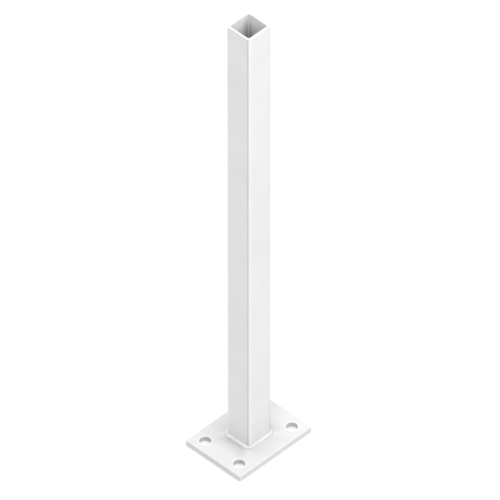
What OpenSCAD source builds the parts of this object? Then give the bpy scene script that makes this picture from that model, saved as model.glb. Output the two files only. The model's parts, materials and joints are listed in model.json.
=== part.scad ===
// Square steel newel post, open at the top, welded to a bolt-down base plate.
// The origin is on the floor at the middle of the plate, and the plate's short way runs along X.

/* [Post tube] */
// Height from the floor to the open top
overall_h = 900; // [300:10:1500]
// Outside width of the square tube
tube_w = 50.8; // [40:0.1:60]
// Wall thickness of the tube
tube_wall = 4.5; // [2.5:0.5:8]
// Radius on the tube's outside corners
tube_corner_r = 4; // [2:0.5:8]
// Radius in the tube's inside corners
tube_inner_r = 3; // [1:0.5:6]

/* [Base plate] */
// Plate size across the short way, along X
plate_w = 124; // [100:1:250]
// Plate size across the long way, along Y
plate_l = 166; // [135:1:300]
// Plate thickness
plate_t = 12; // [8:0.5:25]
// Radius on the plate's upright corners
plate_corner_r = 1.5; // [1:0.5:8]
// Rounding along the plate's top and bottom edges
plate_edge_r = 0.8; // [0.4:0.2:2]

/* [Bolt holes] */
// Diameter of the anchor bolt holes
bolt_hole_d = 19.5; // [10:0.5:24]
// Hole centre to the plate's edge, the short way along X
hole_inset_x = 23.5; // [16:0.5:26]
// Hole centre to the plate's edge, the long way along Y
hole_inset_y = 21.5; // [16:0.5:24]
// Countersink that eases the rim of each hole
hole_ease = 0.6; // [0.2:0.1:1.5]

/* [Weld] */
// Leg of the fillet weld, up the tube and out along the plate
weld_leg = 5.5; // [3:0.5:8]
// How far the bead's face swells past a flat fillet
weld_crown = 0.9; // [0.2:0.1:1.1]

/* [Hidden] */
$fn = 64;
coat = [0.93, 0.93, 0.92];
tube_h = overall_h - plate_t;
bore_w = tube_w - 2 * tube_wall;
hole_x = plate_w / 2 - hole_inset_x;
hole_y = plate_l / 2 - hole_inset_y;
// the bead's face is an arc through both toes of the fillet
weld_chord = weld_leg * sqrt(2);
weld_arc_r = weld_chord * weld_chord / (8 * weld_crown) + weld_crown / 2;
weld_arc_c = weld_leg / 2 - (weld_arc_r - weld_crown) / sqrt(2);
// length of the tube's flat sides, between its corner arcs
flat_w = tube_w - 2 * tube_corner_r;
// cuts run past the faces they open
past = 1;

// flat rectangle with round corners, centred on the origin
module rounded_rect(w, l, r) {
    square([w - 2 * r, l], center = true);
    square([w, l - 2 * r], center = true);
    for (sx = [-1, 1], sy = [-1, 1])
        translate([sx * (w / 2 - r), sy * (l / 2 - r)]) circle(r = r);
}

// slab on the XY plane with its outline and all its long edges rounded
module eased_slab(w, l, t, corner_r, edge_r) {
    intersection() {
        linear_extrude(height = t) rounded_rect(w, l, corner_r);
        translate([0, l / 2, t / 2]) rotate([90, 0, 0])
            linear_extrude(height = l) rounded_rect(w, t, edge_r);
        translate([-w / 2, 0, t / 2]) rotate([90, 0, 90])
            linear_extrude(height = w) rounded_rect(l, t, edge_r);
    }
}

// cutter for one through hole with an eased rim at both faces
module eased_hole(d, t, ease) {
    translate([0, 0, -past]) cylinder(d = d, h = t + 2 * past);
    translate([0, 0, -past]) cylinder(d1 = d + 2 * (ease + past), d2 = d, h = ease + past);
    translate([0, 0, t - ease]) cylinder(d1 = d, d2 = d + 2 * (ease + past), h = ease + past);
}

// section of the fillet weld: X out from the tube's face, Y up from the plate
module bead_section() {
    intersection() {
        square(weld_leg);
        translate([weld_arc_c, weld_arc_c]) circle(r = weld_arc_r);
    }
}

// straight run of weld along one flat side of the tube
module bead_run() {
    translate([tube_w / 2, flat_w / 2, 0]) rotate([90, 0, 0])
        linear_extrude(height = flat_w) bead_section();
}

// quarter turn of weld round one corner of the tube
module bead_corner() {
    translate([flat_w / 2, flat_w / 2, 0])
        rotate_extrude(angle = 90) translate([tube_corner_r, 0]) bead_section();
}

module post_tube() {
    color(coat) translate([0, 0, plate_t])
        linear_extrude(height = tube_h) difference() {
            rounded_rect(tube_w, tube_w, tube_corner_r);
            rounded_rect(bore_w, bore_w, tube_inner_r);
        }
}

module base_plate() {
    color(coat) difference() {
        eased_slab(plate_w, plate_l, plate_t, plate_corner_r, plate_edge_r);
        for (sx = [-1, 1], sy = [-1, 1])
            translate([sx * hole_x, sy * hole_y, 0]) eased_hole(bolt_hole_d, plate_t, hole_ease);
    }
}

module weld_bead() {
    color(coat) translate([0, 0, plate_t])
        for (turn = [0:90:270]) rotate([0, 0, turn]) {
            bead_run();
            bead_corner();
        }
}

post_tube();
base_plate();
weld_bead();
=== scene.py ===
import json
import math
import random

import bmesh
import bpy
from mathutils import Matrix, Vector


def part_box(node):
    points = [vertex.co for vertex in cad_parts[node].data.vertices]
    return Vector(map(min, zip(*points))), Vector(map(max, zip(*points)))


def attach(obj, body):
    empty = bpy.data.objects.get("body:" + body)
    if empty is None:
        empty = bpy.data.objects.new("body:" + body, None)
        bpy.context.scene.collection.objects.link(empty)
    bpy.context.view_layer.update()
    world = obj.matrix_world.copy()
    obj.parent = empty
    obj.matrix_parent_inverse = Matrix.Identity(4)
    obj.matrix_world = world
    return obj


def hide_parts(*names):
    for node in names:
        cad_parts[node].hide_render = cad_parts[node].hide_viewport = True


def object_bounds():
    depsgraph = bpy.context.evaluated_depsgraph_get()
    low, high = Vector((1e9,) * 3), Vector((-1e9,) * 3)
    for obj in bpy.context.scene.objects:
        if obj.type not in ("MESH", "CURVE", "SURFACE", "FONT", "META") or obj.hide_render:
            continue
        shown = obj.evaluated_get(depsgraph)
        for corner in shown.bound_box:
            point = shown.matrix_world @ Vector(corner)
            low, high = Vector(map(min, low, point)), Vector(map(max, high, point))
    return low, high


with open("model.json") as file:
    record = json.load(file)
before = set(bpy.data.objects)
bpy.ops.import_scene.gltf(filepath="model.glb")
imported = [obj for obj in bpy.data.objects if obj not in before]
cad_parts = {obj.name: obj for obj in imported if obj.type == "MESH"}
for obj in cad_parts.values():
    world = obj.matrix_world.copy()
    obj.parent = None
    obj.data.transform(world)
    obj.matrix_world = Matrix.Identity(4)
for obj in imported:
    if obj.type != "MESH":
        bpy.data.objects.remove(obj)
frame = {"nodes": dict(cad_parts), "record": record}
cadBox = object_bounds()
print("frame loaded:", ", ".join(sorted(frame["nodes"])))

closeEnough = 1e-5       # metres, for points that should be at one place
flatFacing = 0.9         # a face looks up or down when its normal's Z is past this
flatWeight = 90          # how much the flat sides count where normals are averaged


def clearSelection():
    bpy.ops.object.select_all(action="DESELECT")


def makeActive(piece):
    clearSelection()
    piece.select_set(True)
    bpy.context.view_layer.objects.active = piece


def addBlock(name, low, high):
    # a cube set to the size and place between two corners
    clearSelection()
    bpy.ops.mesh.primitive_cube_add(size=1, location=(low + high) / 2)
    block = bpy.context.object
    block.name = name
    block.scale = high - low
    bpy.ops.object.transform_apply(location=True, rotation=True, scale=True)
    return block


def pickEdges(piece, wanted):
    # leaves edit mode on, with just the edges that pass the test selected
    makeActive(piece)
    bpy.ops.object.mode_set(mode="EDIT")
    bpy.ops.mesh.select_mode(type="EDGE")
    bpy.ops.mesh.select_all(action="DESELECT")
    cage = bmesh.from_edit_mesh(piece.data)
    for edge in cage.edges:
        edge.select_set(wanted(edge))
    bmesh.update_edit_mesh(piece.data)


def pickFaces(piece, wanted):
    makeActive(piece)
    bpy.ops.object.mode_set(mode="EDIT")
    bpy.ops.mesh.select_mode(type="FACE")
    bpy.ops.mesh.select_all(action="DESELECT")
    cage = bmesh.from_edit_mesh(piece.data)
    for face in cage.faces:
        face.select_set(wanted(face))
    bmesh.update_edit_mesh(piece.data)


def roundEdges(piece, wanted, radius, steps):
    pickEdges(piece, wanted)
    bpy.ops.mesh.bevel(offset=radius, offset_type="OFFSET", segments=steps, affect="EDGES")
    bpy.ops.object.mode_set(mode="OBJECT")


def applyModifier(piece, kind, **settings):
    makeActive(piece)
    modifier = piece.modifiers.new(kind.lower(), kind)
    for key, value in settings.items():
        setattr(modifier, key, value)
    bpy.ops.object.modifier_apply(modifier=modifier.name)


def joinInto(piece, others):
    makeActive(piece)
    for other in others:
        other.select_set(True)
    bpy.ops.object.join()
    return piece


def smoothFaces(piece, angle):
    # soft across the roundings, and flat sides stay flat
    makeActive(piece)
    bpy.ops.object.shade_smooth_by_angle(angle=math.radians(angle))
    applyModifier(piece, "WEIGHTED_NORMAL", keep_sharp=True, weight=flatWeight)


def upright(edge):
    a, b = edge.verts
    return abs(a.co.z - b.co.z) > closeEnough and (a.co.xy - b.co.xy).length < closeEnough


def atHeight(item, height):
    return all(abs(vert.co.z - height) < closeEnough for vert in item.verts)


def looksFlat(face):
    return abs(face.normal.z) > flatFacing


tubeShape = {
    "wall": 0.0045,
    "outsideRadius": 0.004,
    "insideRadius": 0.003,
    "cornerSteps": 8,
    "rimRound": 0.0006,     # sawn end, softened by the coat
    "rimSteps": 3,
    "smoothAngle": 40,
}


def makeTube():
    low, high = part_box("post_tube")
    wall = Vector((tubeShape["wall"], tubeShape["wall"], 0))
    outer = addBlock("postTube", low, high)
    roundEdges(outer, upright, tubeShape["outsideRadius"], tubeShape["cornerSteps"])
    inner = addBlock("bore", low + wall, high - wall)
    roundEdges(inner, upright, tubeShape["insideRadius"], tubeShape["cornerSteps"])
    pickFaces(inner, lambda face: True)
    bpy.ops.mesh.flip_normals()     # the bore's skin faces its own middle
    bpy.ops.object.mode_set(mode="OBJECT")
    tube = joinInto(outer, [inner])
    # both ends are opened, then the two skins are bridged across the wall
    pickFaces(tube, looksFlat)
    bpy.ops.mesh.delete(type="ONLY_FACE")
    bpy.ops.object.mode_set(mode="OBJECT")
    for end in (high.z, low.z):
        pickEdges(tube, lambda edge: atHeight(edge, end))
        bpy.ops.mesh.bridge_edge_loops()
        bpy.ops.object.mode_set(mode="OBJECT")

    def onRim(edge):
        # only the two outlines of the rim, not the spokes across it
        return atHeight(edge, high.z) and not all(looksFlat(face) for face in edge.link_faces)

    roundEdges(tube, onRim, tubeShape["rimRound"], tubeShape["rimSteps"])
    smoothFaces(tube, tubeShape["smoothAngle"])
    return tube


postTube = makeTube()
print("post tube:", len(postTube.data.polygons), "faces")


plateShape = {
    "cornerRadius": 0.0015,
    "cornerSteps": 4,
    "edgeRadius": 0.0008,
    "edgeSteps": 3,
    "holeDiameter": 0.0195,
    "holeSides": 64,
    "holeEase": 0.0012,      # both rims, softened by drilling and by the coat
    "easeSteps": 3,
    "smoothAngle": 40,
}


def boltPlace():
    # how far the bolt holes are from the middle of the plate, in metres
    bolts = next(mount for mount in frame["record"]["mounts"] if mount["name"] == "floor_bolts")
    return [bolts["dims"][spacing] / 1000 / 2 for spacing in ("spacing_x_mm", "spacing_y_mm")]


def makePlate():
    low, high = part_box("base_plate")
    plate = addBlock("basePlate", low, high)
    roundEdges(plate, upright, plateShape["cornerRadius"], plateShape["cornerSteps"])

    def onOutline(edge):
        return atHeight(edge, low.z) or atHeight(edge, high.z)

    roundEdges(plate, onOutline, plateShape["edgeRadius"], plateShape["edgeSteps"])
    holeX, holeY = boltPlace()
    radius = plateShape["holeDiameter"] / 2
    for sideX in (-1, 1):
        for sideY in (-1, 1):
            centre = Vector((sideX * holeX, sideY * holeY, (low.z + high.z) / 2))
            clearSelection()
            bpy.ops.mesh.primitive_cylinder_add(vertices=plateShape["holeSides"], radius=radius,
                                                depth=(high.z - low.z) * 2, location=centre)
            drill = bpy.context.object
            applyModifier(plate, "BOOLEAN", operation="DIFFERENCE", object=drill, solver="EXACT")
            bpy.data.objects.remove(drill)
            roundEdges(plate, lambda edge: onOutline(edge)
                       and all((vert.co.xy - centre.xy).length < radius + closeEnough for vert in edge.verts),
                       plateShape["holeEase"], plateShape["easeSteps"])
    smoothFaces(plate, plateShape["smoothAngle"])
    return plate


basePlate = makePlate()
print("base plate:", len(basePlate.data.polygons), "faces")


beadShape = {
    "seed": 11,
    "reach": 0.0050,         # how far the core stands out from the tube, and up from the plate
    "shoulder": 0.0017,      # how far in its outer flank leans before it turns over
    "coreSteps": 12,
    "seat": 0.0019,          # the middle of a ripple, out from the tube and up from the plate
    "lobeLength": 1.2,       # of the pitch
    "lobeWidth": 0.0072,     # toe to toe
    "lobeHeight": 0.0064,
    "lobeSides": 20,
    "lobeRings": 12,
    "lobeLean": 45,          # degrees over from upright, so that it faces out and up
    "lobeTurn": 25,          # degrees that each ripple slants across the run
    "pitches": (0.0048, 0.0058, 0.0058, 0.0068),     # on the +X, +Y, -X and -Y sides
    "unevenness": 0.08,
    "voxel": 0.0003,
    "smoothing": 0.5,
    "smoothPasses": 2,
    "sink": 0.00015,         # how far the bead is bedded into the tube and the plate
    "smoothAngle": 50,
}


def makeCore(half, plateTop):
    # a slab whose top face is inset and lifted twice, which leaves a rounded skirt round the tube
    reach, shoulder = beadShape["reach"], beadShape["shoulder"]
    side = half + reach
    core = addBlock("core", Vector((-side, -side, plateTop - reach)), Vector((side, side, plateTop)))
    roundEdges(core, upright, tubeShape["outsideRadius"] + reach, beadShape["coreSteps"])
    pickFaces(core, lambda face: face.normal.z > flatFacing)
    bpy.ops.mesh.inset(thickness=shoulder, depth=reach - shoulder)
    bpy.ops.mesh.inset(thickness=reach - shoulder, depth=shoulder)
    bpy.ops.object.mode_set(mode="OBJECT")
    return core


def makeLobe():
    # one ripple, its length along X for a pitch of 1 mm, its width along Y and its height along Z
    clearSelection()
    bpy.ops.mesh.primitive_uv_sphere_add(segments=beadShape["lobeSides"], ring_count=beadShape["lobeRings"],
                                         radius=0.5)
    lobe = bpy.context.object
    lobe.scale = (beadShape["lobeLength"] / 1000, beadShape["lobeWidth"], beadShape["lobeHeight"])
    bpy.ops.object.transform_apply(location=False, rotation=False, scale=True)
    return lobe


def ringPlace(along, half, corner, out):
    # point, heading and side at a distance round the tube, anticlockwise from the middle of the +X side
    straight, turn = 2 * (half - corner), math.pi / 2 * (corner + out)
    side, rest = divmod(along + straight / 2, straight + turn)
    if rest < straight:
        point, heading = Vector((half + out, rest - straight / 2, 0)), 0
    else:
        heading = (rest - straight) / (corner + out)
        arm = Vector((math.cos(heading), math.sin(heading), 0))
        point = Vector((half - corner, half - corner, 0)) + arm * (corner + out)
    quarter = math.pi / 2 * side
    return Matrix.Rotation(quarter, 3, "Z") @ point, heading + quarter, int(side) % 4


def makeBead():
    random.seed(beadShape["seed"])
    low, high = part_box("post_tube")
    half, plateTop = (high.x - low.x) / 2, low.z
    corner, seat = tubeShape["outsideRadius"], beadShape["seat"]
    ringLength = 8 * (half - corner) + 2 * math.pi * (corner + seat)

    def uneven():
        return 1 + random.uniform(-1, 1) * beadShape["unevenness"]

    pattern = makeLobe()
    lobes = []
    along = 0
    while along < ringLength:
        point, heading, side = ringPlace(along, half, corner, seat)
        pitch = beadShape["pitches"][side] * uneven()
        lobe = pattern.copy()
        lobe.data = pattern.data.copy()
        bpy.context.collection.objects.link(lobe)
        slant = math.radians(90 + beadShape["lobeTurn"] * uneven())
        lobe.matrix_world = (Matrix.Translation(point + Vector((0, 0, plateTop + seat)))
                             @ Matrix.Rotation(heading, 4, "Z")
                             @ Matrix.Rotation(math.radians(beadShape["lobeLean"]), 4, "Y")
                             @ Matrix.Rotation(slant, 4, "Z")
                             @ Matrix.Diagonal((pitch * 1000, uneven(), uneven(), 1)))
        lobes.append(lobe)
        along += pitch
    bpy.data.objects.remove(pattern)
    bead = joinInto(makeCore(half, plateTop), lobes)
    bead.name = "weldBead"
    applyModifier(bead, "REMESH", mode="VOXEL", voxel_size=beadShape["voxel"])
    applyModifier(bead, "SMOOTH", factor=beadShape["smoothing"], iterations=beadShape["smoothPasses"])
    # what lies inside the tube and the plate is cut away
    sink = beadShape["sink"]
    inside, below = half - sink, plateTop - sink
    tubeCutter = addBlock("tubeCutter", Vector((-inside, -inside, -half)), Vector((inside, inside, half)))
    roundEdges(tubeCutter, upright, corner, tubeShape["cornerSteps"])
    wide = 2 * half
    plateCutter = addBlock("plateCutter", Vector((-wide, -wide, -half)), Vector((wide, wide, below)))
    for cutter in (tubeCutter, plateCutter):
        applyModifier(bead, "BOOLEAN", operation="DIFFERENCE", object=cutter, solver="EXACT")
        bpy.data.objects.remove(cutter)
    makeActive(bead)
    bpy.ops.object.shade_smooth_by_angle(angle=math.radians(beadShape["smoothAngle"]))
    return bead


weldBead = makeBead()
print("weld bead:", len(weldBead.data.polygons), "faces")


class Wire:
    # wraps a socket, so that shader maths reads as a formula
    def __init__(self, paint, socket):
        self.paint, self.socket = paint, socket

    def maths(self, operation, *values):
        return self.paint.node("ShaderNodeMath", {"operation": operation}, dict(enumerate(values)))

    def __add__(self, other):
        return self.maths("ADD", self, other)

    def __radd__(self, other):
        return self.maths("ADD", other, self)

    def __sub__(self, other):
        return self.maths("SUBTRACT", self, other)

    def __rsub__(self, other):
        return self.maths("SUBTRACT", other, self)

    def __mul__(self, other):
        return self.maths("MULTIPLY", self, other)

    def __rmul__(self, other):
        return self.maths("MULTIPLY", other, self)

    def __truediv__(self, other):
        return self.maths("DIVIDE", self, other)

    def __abs__(self):
        return self.maths("ABSOLUTE", self)

    def atLeast(self, other):
        return self.maths("MAXIMUM", self, other)

    def atMost(self, other):
        return self.maths("MINIMUM", self, other)

    def root(self):
        return self.maths("SQRT", self)

    def sign(self):
        return self.maths("SIGN", self)

    def clamp(self):
        return self.paint.node("ShaderNodeClamp", {}, {"Value": self})

    def rising(self, reach):
        # even, from 0 at nought to 1 at the reach
        return (self / reach).clamp()

    def falling(self, reach):
        # even, from 1 at nought to 0 at the reach
        return (1 - self / reach).clamp()

    def fading(self, reach):
        # 1 for the first third of the reach, and then down to 0 at its end
        return (1.5 - self / reach * 1.5).clamp()

    def eased(self, reach):
        # from 0 at nought to 1 at the reach, with no crease at either end
        held = self.rising(reach)
        return held * held * (3 - 2 * held)


class Paint:
    # one node tree, of a material or of the world
    def __init__(self, tree):
        self.tree = tree

    def node(self, kind, settings, values, output=0):
        made = self.tree.nodes.new(kind)
        for key, value in settings.items():
            setattr(made, key, value)
        for key, value in values.items():
            self.feed(made.inputs[key], value)
        return Wire(self, made.outputs[output])

    def feed(self, socket, value):
        if isinstance(value, Wire):
            self.tree.links.new(value.socket, socket)
        else:
            socket.default_value = value

    def mix(self, factor, a, b):
        # sockets 0, 6 and 7 are the factor and the two colours, and output 2 is the colour
        return self.node("ShaderNodeMix", {"data_type": "RGBA"}, {0: factor, 6: a, 7: b}, 2)

    def noise(self, place, size, detail):
        # size is the width of a lump in metres
        values = {"Vector": place, "Scale": 1 / size, "Detail": detail}
        return self.node("ShaderNodeTexNoise", {}, values, "Fac")

    def axes(self, place):
        first = self.node("ShaderNodeSeparateXYZ", {}, {0: place})
        return [Wire(self, socket) for socket in first.socket.node.outputs]

    def seenDirectly(self):
        # 1 for a ray straight from the eye, off gloss or through glass
        eyeRay = self.node("ShaderNodeLightPath", {}, {}, "Is Camera Ray")
        outputs = eyeRay.socket.node.outputs
        others = Wire(self, outputs["Is Glossy Ray"]) + Wire(self, outputs["Is Transmission Ray"])
        return (eyeRay + others).clamp()


def newMaterial(name):
    material = bpy.data.materials.new(name)
    material.use_nodes = True
    return material, Paint(material.node_tree), material.node_tree.nodes["Principled BSDF"].inputs


def assign(piece, material):
    piece.data.materials.clear()
    piece.data.materials.append(material)


coat = {
    "colour": (0.87, 0.87, 0.865, 1),
    "thin": (0.82, 0.82, 0.81, 1),           # cloudy patches where the coat is a little thinner
    "paintedHighlight": (0.975, 0.975, 0.97, 1),        # painted highlight along edges, rims and lines
    "paintedShade": (0.27, 0.265, 0.26, 1),          # the grey of painted shade
    "roughness": 0.38,
    "roughnessSpread": 0.10,
    "cloudSize": 0.05,
    "cloudContrast": 1.6,
    "cloudCut": 0.5,                         # taken off the clouds, so that most of the coat is plain
    "cloudDetail": 3,
    "peelSize": 0.0016,                      # the fine orange-peel skin
    "peelHeight": 0.00003,
    "peelStrength": 0.6,
    "waveSize": 0.009,                       # slow waves under the peel
    "waveShare": 2,
    "skinDetail": 2,
}


def powderCoat(name, masks):
    # masks makes two masks, 0 to 1, from the place on the surface: how much painted highlight, and how much
    # painted shade
    material, paint, shader = newMaterial(name)
    place = paint.node("ShaderNodeTexCoord", {}, {}, "Object")
    cloud = paint.noise(place, coat["cloudSize"], coat["cloudDetail"])
    paintedHighlight, paintedShade = masks(paint, place)
    patches = (cloud * coat["cloudContrast"] - coat["cloudCut"]).clamp()
    colour = paint.mix(patches, coat["colour"], coat["thin"])
    colour = paint.mix(paintedHighlight, colour, coat["paintedHighlight"])
    colour = paint.mix(paintedShade, colour, coat["paintedShade"])
    waves = paint.noise(place, coat["waveSize"], coat["skinDetail"])
    skin = paint.noise(place, coat["peelSize"], coat["skinDetail"]) + waves * coat["waveShare"]
    bump = paint.node("ShaderNodeBump", {}, {"Strength": coat["peelStrength"], "Distance": coat["peelHeight"],
                                             "Height": skin}, "Normal")
    paint.feed(shader["Base Color"], colour)
    paint.feed(shader["Roughness"], coat["roughness"] + (cloud - 0.5) * coat["roughnessSpread"])
    paint.feed(shader["Normal"], bump)
    return material


def offTube(x, y):
    # how far a point outside the tube is from its skin, round the corners too
    corner = tubeShape["outsideRadius"]
    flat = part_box("post_tube")[1].x - corner
    pastX, pastY = (abs(x) - flat).atLeast(0), (abs(y) - flat).atLeast(0)
    return (pastX * pastX + pastY * pastY).root() - corner


tubeCoat = {
    "footShade": 0.16,       # painted shade on the tube just over the weld
    "footReach": 0.07,
    "toeShade": 0.16,        # and in the crease itself
    "toeReach": 0.0012,
    "lineShade": 0.50,       # a painted dark line down one side of each corner
    "lineAt": -0.0021,       # across the corner, from its middle
    "lineWidth": 0.0013,
    "highlightLineShare": 1.0,       # and a painted highlight line beside it
    "highlightLineAt": 0.0026,
    "highlightLineWidth": 0.0022,
    "rimHighlight": 0.35,        # painted highlight on the sawn end
    "rimDepth": 0.0009,
    "rimFade": 0.0003,
    "boreSkin": 0.0005,      # what lies this near the bore's faces counts as inside
    "boreShadeStarts": 0.002,     # depth at which the painted shade in the bore begins
    "boreShadeRamp": 0.060,       # and how much further down it reaches full strength
    "flatShare": 0.17,       # how much painted shade the flats get, against the strips beside the corners
    "cornerShare": 0.0,      # and the same in the very corners
    "stripStart": 0.45,      # share of the half width at which the strips begin
}


def tubeMasks(paint, place):
    low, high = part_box("post_tube")
    half = (high.x - low.x) / 2 - tubeShape["wall"]
    x, y, z = paint.axes(place)
    far, near = abs(x).atLeast(abs(y)), abs(x).atMost(abs(y))
    skin = tubeCoat["boreSkin"]
    inside = (half + 2 * skin - far).rising(skin)
    belowRim = 1 - (z - (high.z - tubeCoat["rimDepth"])).rising(tubeCoat["rimFade"])
    # in the bore the painted shade deepens with depth, and soonest in a strip beside each corner
    depth = (high.z - tubeCoat["boreShadeStarts"] - z).rising(tubeCoat["boreShadeRamp"])
    radius = tubeShape["insideRadius"]
    start, peak = tubeCoat["stripStart"] * half, half - radius
    strip = (near - start).rising(peak - start)
    corner = (near - peak).rising(radius * math.sqrt(0.5))
    flatShare, cornerShare = tubeCoat["flatShare"], tubeCoat["cornerShare"]
    share = flatShare + strip * (1 - flatShare) - corner * (1 - cornerShare)
    bore = inside * depth * share.clamp() * belowRim
    # runs across each corner, the same way round on all four, 0 at its middle
    across = (abs(y) - abs(x)) * (x * y).sign()
    # a painted dark line down one side of each corner, and a painted highlight line beside it
    line = abs(across - tubeCoat["lineAt"]).fading(tubeCoat["lineWidth"])
    highlightLine = abs(across - tubeCoat["highlightLineAt"]).fading(tubeCoat["highlightLineWidth"])
    foot = (z - low.z).falling(tubeCoat["footReach"])
    toe = (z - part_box("weld_bead")[1].z).falling(tubeCoat["toeReach"])
    outside = line * tubeCoat["lineShade"] * belowRim + toe * tubeCoat["toeShade"]
    paintedHighlight = highlightLine * tubeCoat["highlightLineShare"] * (1 - inside) * belowRim + (1 - belowRim) * tubeCoat["rimHighlight"]
    paintedShade = bore + (1 - inside) * outside + foot * foot * tubeCoat["footShade"]
    return paintedHighlight.clamp(), paintedShade.clamp()


# each value named Shade, here and in the other two coats, is painted shade, and 0 takes it off
plateCoat = {
    "sawnEdgeShade": 0.175,       # painted shade on the cut sides
    # painted shade on the walls of the holes
    "holeWallShade": 0.40,
    "lipStart": 0.0028,      # over the underside, where the painted shade on a hole's wall starts, with painted highlight on the wall below it
    "lipFade": 0.0012,
    "weldShade": 0.16,       # painted shade beside the weld, off the middle of each side
    "wideShade": 0.20,       # added to that on the -Y and +Y sides, for looks alone
    "cornerShade": 0.06,     # and off the corners
    "cornerReach": 0.022,    # over which it changes from side to corner
    "weldReach": 0.034,
    "toeShade": 0.09,        # and right at its toe
    "toeReach": 0.0016,
    "edgeBand": 0.0016,      # width of the painted highlight along the edges and round the holes
    "skin": 0.0003,          # what lies this near a cut face counts as on it
}


def plateMasks(paint, place):
    low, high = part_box("base_plate")
    x, y, z = paint.axes(place)
    skin, band = plateCoat["skin"], plateCoat["edgeBand"]
    # the plate's cut sides and the walls of its holes take painted shade, darker than its face
    edge = (high.x - abs(x)).atMost(high.y - abs(y))
    top = (z - (high.z - plateShape["edgeRadius"])).rising(skin)
    sides = edge.falling(skin) * (1 - top)
    holeX, holeY = boltPlace()
    offX, offY = abs(x) - holeX, abs(y) - holeY
    offHole = (offX * offX + offY * offY).root() - plateShape["holeDiameter"] / 2
    wall = offHole.falling(skin)
    aboveLip = (z - low.z - plateCoat["lipStart"]).rising(plateCoat["lipFade"])
    ring = (offHole - plateShape["holeEase"]).fading(band) * (1 - wall)
    # painted highlight along the top edges, round the holes and low on their walls
    paintedHighlight = (edge.fading(band) + ring).clamp() * top + wall * (1 - aboveLip)
    # and its face takes painted shade towards the weld
    offWeld = offTube(x, y) - (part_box("weld_bead")[1].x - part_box("post_tube")[1].x)
    closeness = offWeld.falling(plateCoat["weldReach"])
    toe = offWeld.falling(plateCoat["toeReach"])
    cornerReach = plateCoat["cornerReach"]
    wide = (abs(y) - abs(x)).eased(cornerReach)
    middle = abs(abs(y) - abs(x)).eased(cornerReach)
    share = plateCoat["cornerShade"] + middle * plateCoat["weldShade"] + wide * plateCoat["wideShade"]
    paintedShade = (sides * plateCoat["sawnEdgeShade"] + wall * aboveLip * plateCoat["holeWallShade"]
            + (closeness * closeness * share + toe * plateCoat["toeShade"]) * top)
    return paintedHighlight.clamp(), paintedShade.clamp()


beadCoat = {
    "flankShade": 0.14,      # painted shade low on the bead's outer flank
    "flankHeight": 0.0040,
    "flankEdge": 1.3,        # 1 for an even fade up the flank, and more for a firmer one
    "creaseShade": 0.16,     # and in the crease against the tube
    "creaseReach": 0.0010,
    "valleyShade": 0.07,     # between the ripples
    "valleyFloor": 0.0047,   # how far a valley is from the corner of tube and plate
    "rippleHeight": 0.0011,
    "runHighlight": 0.5,      # painted highlight on the -Y and +Y runs, which also take less painted shade on the flank, for looks alone
    "runHighlightReach": 0.012,
}


def beadMasks(paint, place):
    x, y, z = paint.axes(place)
    up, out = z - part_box("weld_bead")[0].z, offTube(x, y)
    steepness = beadCoat["flankEdge"]
    flank = (steepness - up / beadCoat["flankHeight"] * steepness).clamp()
    crease = out.falling(beadCoat["creaseReach"])
    valley = ((up * up + out * out).root() - beadCoat["valleyFloor"]).falling(beadCoat["rippleHeight"])
    lighterRuns = (abs(y) - abs(x)).eased(beadCoat["runHighlightReach"])
    paintedShade = (flank * beadCoat["flankShade"] * (1 - lighterRuns) + crease * beadCoat["creaseShade"]
            + valley * beadCoat["valleyShade"])
    return lighterRuns * beadCoat["runHighlight"], paintedShade.clamp()


assign(postTube, powderCoat("whiteCoatTube", tubeMasks))
assign(basePlate, powderCoat("whiteCoatPlate", plateMasks))
assign(weldBead, powderCoat("whiteCoatBead", beadMasks))
for piece, node, slot in ((postTube, "post_tube", "tube_coat"), (basePlate, "base_plate", "plate_coat"),
                          (weldBead, "weld_bead", "bead_coat")):
    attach(piece, "root")
    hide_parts(node)
print("coats set")


floorShape = {
    "size": 60.0,
    "gap": 0.0002,                           # below the plate, so that the two don't lie in one plane
    "colour": (0.80, 0.80, 0.80, 1),         # the pale floor that lights the post from below
    "shadeColour": (0.30, 0.30, 0.30, 1),    # what the eye sees: this share takes the post's shadow
    "glow": 0.75,                            # and this share is plain white
}


def makeFloor():
    clearSelection()
    bpy.ops.mesh.primitive_plane_add(size=floorShape["size"], location=(0, 0, -floorShape["gap"]))
    floor = bpy.context.object
    floor.name = "floor"
    material, paint, plain = newMaterial("paleFloor")
    shown = paint.node("ShaderNodeBsdfPrincipled", {}, {
        "Base Color": floorShape["shadeColour"], "Roughness": 1.0, "Specular IOR Level": 0.0,
        "Emission Color": (1, 1, 1, 1), "Emission Strength": floorShape["glow"]})
    plain["Base Color"].default_value = floorShape["colour"]
    plain["Roughness"].default_value = 1.0
    plain["Specular IOR Level"].default_value = 0.0
    plainShader = Wire(paint, material.node_tree.nodes["Principled BSDF"].outputs[0])
    surface = paint.node("ShaderNodeMixShader", {}, {0: paint.seenDirectly(), 1: plainShader, 2: shown})
    paint.feed(material.node_tree.nodes["Material Output"].inputs["Surface"], surface)
    assign(floor, material)


studio = {
    "skyLevel": 0.355,
    # azimuth from the -Y side towards +X and elevation in degrees, distance and size in metres, and watts
    "lamps": {
        "softboxFarLeft": (-120, 10, 4.5, 2.2, 44),
        "softboxLeft": (-75, 10, 4.5, 2.2, 75),
        "softboxFront": (20, 35, 4.5, 2.2, 38),
        "softboxRight": (100, 35, 7.0, 3.4, 105),
        "softboxFarRight": (120, 35, 7.0, 3.4, 97),
        "softboxBack": (180, 60, 4.5, 2.2, 24),
        "softboxTop": (45, 60, 4.5, 2.2, 28),
        "smallTop": (79, 69, 1.44, 0.7, 1.7),
    },
}


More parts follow.
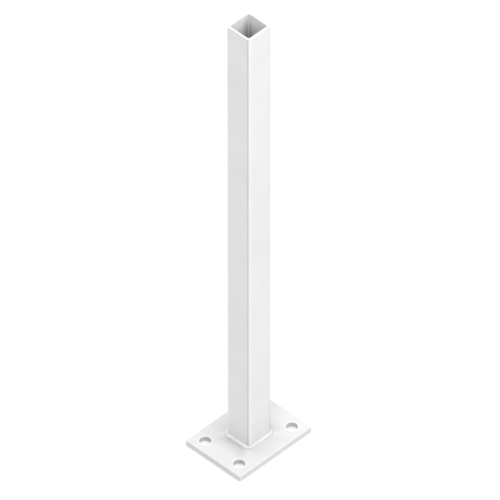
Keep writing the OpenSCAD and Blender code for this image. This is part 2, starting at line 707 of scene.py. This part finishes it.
def direction(azimuth, elevation):
    turn, lift = math.radians(azimuth), math.radians(elevation)
    return Vector((math.sin(turn) * math.cos(lift), -math.cos(turn) * math.cos(lift), math.sin(lift)))


def makeSky():
    world = bpy.data.worlds.new("studioSky")
    world.use_nodes = True
    bpy.context.scene.world = world
    paint = Paint(world.node_tree)
    background = world.node_tree.nodes["Background"]
    level = studio["skyLevel"]
    background.inputs["Color"].default_value = (1, 1, 1, 1)
    paint.feed(background.inputs["Strength"], paint.seenDirectly() * (1 - level) + level)


def makeLamps():
    low, high = cadBox
    middle = (low + high) / 2
    for name, (azimuth, elevation, distance, size, power) in studio["lamps"].items():
        clearSelection()
        towards = direction(azimuth, elevation)
        bpy.ops.object.light_add(type="AREA", location=middle + towards * distance,
                                 rotation=towards.to_track_quat("Z", "Y").to_euler())
        lamp = bpy.context.object
        lamp.name = name
        lamp.data.shape = "SQUARE"
        lamp.data.size = size
        lamp.data.energy = power


eye = {
    "azimuth": 44.46,
    "elevation": 42.61,
    "distance": 20.0,
    "lens": 895.4,
    "sensor": 36,
    "aimShare": 0.4649,      # share of the post's height that the frame is centred on
    "aimRight": 0.00221,     # metres to the right of the post's middle
    "clipStart": 1.0,
    "clipEnd": 100.0,
}


def makeCamera():
    low, high = cadBox
    back = direction(eye["azimuth"], eye["elevation"])
    turn = math.radians(eye["azimuth"])
    right = Vector((math.cos(turn), math.sin(turn), 0))
    aim = right * eye["aimRight"] + Vector((0, 0, low.z + (high.z - low.z) * eye["aimShare"]))
    clearSelection()
    bpy.ops.object.camera_add(location=aim + back * eye["distance"],
                              rotation=back.to_track_quat("Z", "Y").to_euler())
    camera = bpy.context.object
    camera.data.lens = eye["lens"]
    camera.data.sensor_width = eye["sensor"]
    camera.data.clip_start = eye["clipStart"]
    camera.data.clip_end = eye["clipEnd"]
    bpy.context.scene.camera = camera


makeFloor()
makeSky()
makeLamps()
makeCamera()
bpy.context.scene.view_settings.view_transform = "Standard"
print("floor, lights and camera set")
